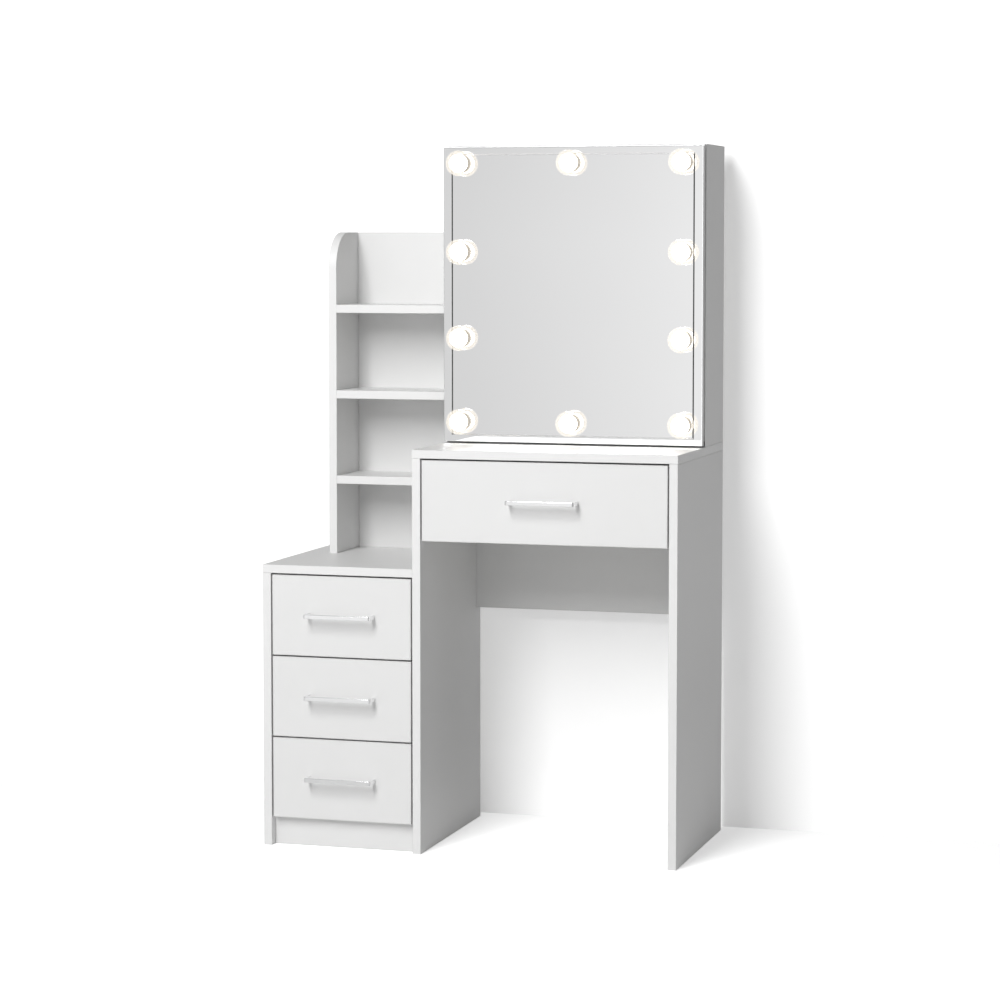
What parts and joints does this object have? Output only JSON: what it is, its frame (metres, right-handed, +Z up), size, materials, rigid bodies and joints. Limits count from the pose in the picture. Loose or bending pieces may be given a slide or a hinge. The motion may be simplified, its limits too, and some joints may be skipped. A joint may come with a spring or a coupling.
{
  "type": "vanity table with mirror",
  "caption": "White vanity table with side drawers, open shelves beside the mirror, a wide desk drawer and a lamp-lit mirror that slides sideways over a hidden cupboard.",
  "frame": {"origin": "middle of the footprint on the floor", "axes": "+Z up, +X to the right as seen from the front, -Y towards the person sitting at it"},
  "size_m": [0.8, 0.408, 1.321],
  "materials": {
    "melamine": "white melamine-faced board, satin",
    "hardboard": "thin white-faced hardboard, matt",
    "mirror": "silvered mirror glass",
    "diffuser": "frosted warm-white lamp diffuser",
    "handle": "polished, bright",
    "track": "satin extrusion",
    "runner": "white powder coat"
  },
  "bodies": {
    "carcass": {"cabinet_left_panel": "melamine", "cabinet_top": "melamine", "cabinet_bottom": "melamine", "cabinet_plinth": "melamine", "cabinet_back": "hardboard", "middle_panel": "melamine", "desk_right_panel": "melamine", "desk_top": "melamine", "desk_back_panel": "melamine", "tower_side": "melamine", "tower_back": "melamine", "tower_shelf_lower": "melamine", "tower_shelf_middle": "melamine", "tower_shelf_upper": "melamine", "mirror_box_left": "melamine", "mirror_box_right": "melamine", "mirror_box_top": "melamine", "mirror_box_bottom": "melamine", "mirror_box_back": "hardboard", "mirror_box_shelf_lower": "melamine", "mirror_box_shelf_upper": "melamine", "mirror_track_top": "track", "mirror_track_bottom": "track", "desk_drawer_runner_left": "runner", "desk_drawer_runner_right": "runner", "cabinet_drawer_lower_runner_left": "runner", "cabinet_drawer_lower_runner_right": "runner", "cabinet_drawer_middle_runner_left": "runner", "cabinet_drawer_middle_runner_right": "runner", "cabinet_drawer_upper_runner_left": "runner", "cabinet_drawer_upper_runner_right": "runner"},
    "sliding_mirror": {"mirror_runner": "track", "mirror_board": "melamine", "mirror_glass": "mirror", "bulb_left_1": "diffuser", "bulb_left_2": "diffuser", "bulb_left_3": "diffuser", "bulb_left_4": "diffuser", "bulb_right_1": "diffuser", "bulb_right_2": "diffuser", "bulb_right_3": "diffuser", "bulb_right_4": "diffuser", "bulb_middle_bottom": "diffuser", "bulb_middle_top": "diffuser"},
    "desk_drawer": {"desk_drawer_front": "melamine", "desk_drawer_box": "melamine", "desk_drawer_bottom": "hardboard", "desk_drawer_handle": "handle"},
    "cabinet_drawer_lower": {"cabinet_drawer_lower_front": "melamine", "cabinet_drawer_lower_box": "melamine", "cabinet_drawer_lower_bottom": "hardboard", "cabinet_drawer_lower_handle": "handle"},
    "cabinet_drawer_middle": {"cabinet_drawer_middle_front": "melamine", "cabinet_drawer_middle_box": "melamine", "cabinet_drawer_middle_bottom": "hardboard", "cabinet_drawer_middle_handle": "handle"},
    "cabinet_drawer_upper": {"cabinet_drawer_upper_front": "melamine", "cabinet_drawer_upper_box": "melamine", "cabinet_drawer_upper_bottom": "hardboard", "cabinet_drawer_upper_handle": "handle"}
  },
  "joints": [
    {"name": "mirror_slide", "type": "slide", "parent": "carcass", "child": "sliding_mirror", "axis": [-1, 0, 0], "range_m": [0, 0.235]},
    {"name": "desk_drawer_slide", "type": "slide", "parent": "carcass", "child": "desk_drawer", "axis": [0, -1, 0], "range_m": [0, 0.24]},
    {"name": "cabinet_drawer_lower_slide", "type": "slide", "parent": "carcass", "child": "cabinet_drawer_lower", "axis": [0, -1, 0], "range_m": [0, 0.24]},
    {"name": "cabinet_drawer_middle_slide", "type": "slide", "parent": "carcass", "child": "cabinet_drawer_middle", "axis": [0, -1, 0], "range_m": [0, 0.24]},
    {"name": "cabinet_drawer_upper_slide", "type": "slide", "parent": "carcass", "child": "cabinet_drawer_upper", "axis": [0, -1, 0], "range_m": [0, 0.24]}
  ]
}
